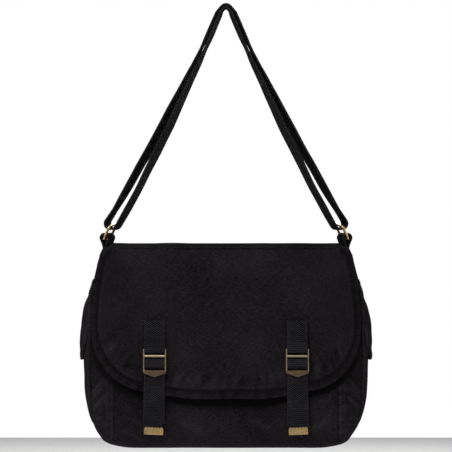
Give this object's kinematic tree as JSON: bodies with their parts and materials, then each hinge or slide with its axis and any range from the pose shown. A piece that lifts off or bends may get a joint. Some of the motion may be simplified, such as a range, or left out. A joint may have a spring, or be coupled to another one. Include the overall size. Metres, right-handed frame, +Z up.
{
  "type": "messenger bag",
  "caption": "Soft canvas messenger bag hanging by its shoulder strap, with a D-shaped flap closed by buckled webbing straps and lidded side pockets.",
  "frame": {"origin": "the inner fold of the shoulder strap, where the bag hangs", "axes": "+Z up; +Y from the flap to the back; +X to the right seen from the front"},
  "size_m": [0.3652, 0.1353, 0.5505],
  "materials": {
    "canvas": "washed cotton canvas",
    "canvas_edge": "folded canvas edge",
    "webbing": "woven cotton webbing",
    "antique_brass": "antique brass"
  },
  "bodies": {
    "strap": {"shoulder_strap": "webbing"},
    "ring_left": {"ring_left": "antique_brass"},
    "ring_right": {"ring_right": "antique_brass"},
    "bag": {"front_panel": "canvas", "back_panel": "canvas", "base_panel": "canvas", "gusset_left": "canvas", "gusset_right": "canvas", "mouth_hem_front": "canvas", "mouth_hem_back": "canvas", "gusset_hem_left": "canvas", "gusset_hem_right": "canvas", "flap_back_panel": "canvas", "side_pocket_left": "canvas", "side_pocket_right": "canvas", "ring_tab_left": "webbing", "ring_tab_right": "webbing", "press_stud_left": "antique_brass", "press_stud_right": "antique_brass"},
    "flap_top": {"flap_top_panel": "canvas"},
    "flap_front": {"flap_front_panel": "canvas", "flap_binding": "canvas_edge", "closure_tab_left": "webbing", "closure_tab_right": "webbing"},
    "closure_left": {"buckle_left": "antique_brass", "closure_strap_left": "webbing", "strap_tip_left": "antique_brass", "stud_socket_left": "antique_brass"},
    "pocket_flap_left": {"pocket_flap_left": "canvas", "pocket_flap_hem_left": "canvas_edge"},
    "closure_right": {"buckle_right": "antique_brass", "closure_strap_right": "webbing", "strap_tip_right": "antique_brass", "stud_socket_right": "antique_brass"},
    "pocket_flap_right": {"pocket_flap_right": "canvas", "pocket_flap_hem_right": "canvas_edge"}
  },
  "joints": [
    {"name": "ring_left_turn", "type": "hinge", "parent": "strap", "child": "ring_left", "pos_m": [-0.1411, 0, -0.2708], "axis": [0, 1, 0], "range_deg": [-12, 12]},
    {"name": "bag_sway", "type": "hinge", "parent": "ring_left", "child": "bag", "pos_m": [-0.1482, 0, -0.2866], "axis": [0, 1, 0], "range_deg": [-11.5, 11.5]},
    {"name": "ring_right_turn", "type": "hinge", "parent": "strap", "child": "ring_right", "pos_m": [0.1411, 0, -0.2708], "axis": [0, 1, 0], "range_deg": [-12, 12]},
    {"name": "flap_lift", "type": "hinge", "parent": "bag", "child": "flap_top", "pos_m": [0, -0.0252, -0.2934], "axis": [-1, 0, 0], "range_deg": [0, 90]},
    {"name": "flap_unfold", "type": "hinge", "parent": "flap_top", "child": "flap_front", "pos_m": [0, -0.052, -0.2934], "axis": [-1, 0, 0], "range_deg": [0, 65]},
    {"name": "closure_lift_left", "type": "hinge", "parent": "flap_front", "child": "closure_left", "pos_m": [-0.0872, -0.0714, -0.4234], "axis": [1, 0, 0], "range_deg": [-80, 0]},
    {"name": "pocket_lid_lift_left", "type": "hinge", "parent": "bag", "child": "pocket_flap_left", "pos_m": [-0.1662, 0, -0.338], "axis": [0, 1, 0], "range_deg": [0, 100]},
    {"name": "closure_lift_right", "type": "hinge", "parent": "flap_front", "child": "closure_right", "pos_m": [0.0872, -0.0714, -0.4234], "axis": [1, 0, 0], "range_deg": [-80, 0]},
    {"name": "pocket_lid_lift_right", "type": "hinge", "parent": "bag", "child": "pocket_flap_right", "pos_m": [0.1662, 0, -0.338], "axis": [0, -1, 0], "range_deg": [0, 100]}
  ],
  "couplings": [
    {"joint": "bag_sway", "follows": "ring_left_turn", "ratio": -0.9521},
    {"joint": "ring_right_turn", "follows": "ring_left_turn", "ratio": 1},
    {"joint": "flap_unfold", "follows": "flap_lift", "ratio": 0.72}
  ]
}
